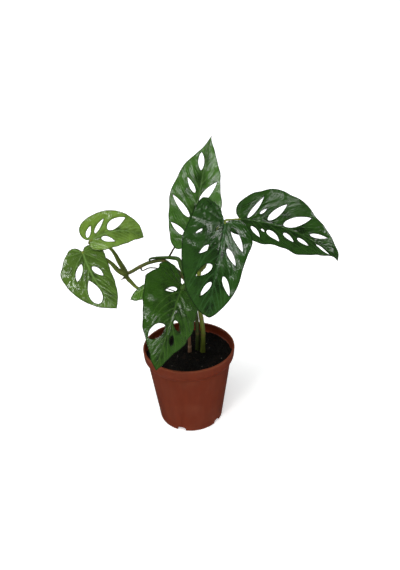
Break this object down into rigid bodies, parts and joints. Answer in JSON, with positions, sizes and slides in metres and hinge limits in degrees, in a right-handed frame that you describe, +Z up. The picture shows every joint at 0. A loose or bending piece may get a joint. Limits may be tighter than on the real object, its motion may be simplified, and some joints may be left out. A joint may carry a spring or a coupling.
{
  "type": "potted monstera plant",
  "caption": "Young climbing plant with glossy, hole-pierced heart-shaped leaves on arching stalks, rooted in soil in a round tapered nursery pot.",
  "frame": {"origin": "centre of the pot's foot, on the surface that it stands on", "axes": "+Z up along the pot's axis; +X to the side that the single long leaf reaches; -Y to the side where leaves hang in front of the pot"},
  "size_m": [0.327, 0.1925, 0.3642],
  "materials": {
    "pot_plastic": "moulded terracotta-brown polypropylene, satin, lightly scuffed",
    "soil": "damp dark peat potting soil with fine bark and grit",
    "stem_green": "fresh yellow-green plant stalk, faintly ribbed, satin",
    "stem_olive": "older olive climbing stem with paler node rings",
    "stem_brown": "corky brown stem and aerial root skin, matt",
    "leaf_dark": "glossy dark green leaf, paler matt underside",
    "leaf_mid": "glossy mid green leaf, paler matt underside",
    "leaf_pale": "young yellow-green leaf, satin gloss"
  },
  "bodies": {
    "root": {"pot": "pot_plastic", "soil": "soil", "main_stem": "stem_green", "runner": "stem_olive", "rooted_stem": "stem_brown", "stalk_back": "stem_green", "stalk_right": "stem_green", "stalk_front": "stem_green", "stalk_over_rim": "stem_green", "stalk_pale_upper": "stem_green", "stalk_pale_lower": "stem_green", "stalk_small": "stem_green", "aerial_root_short": "stem_brown", "aerial_root_low": "stem_brown", "aerial_root_high": "stem_brown", "leaf_back": "leaf_dark", "leaf_right": "leaf_dark", "leaf_front": "leaf_dark", "leaf_over_rim": "leaf_mid", "leaf_small": "leaf_pale", "leaf_pale_upper": "leaf_pale", "leaf_pale_lower": "leaf_pale"}
  },
  "joints": []
}
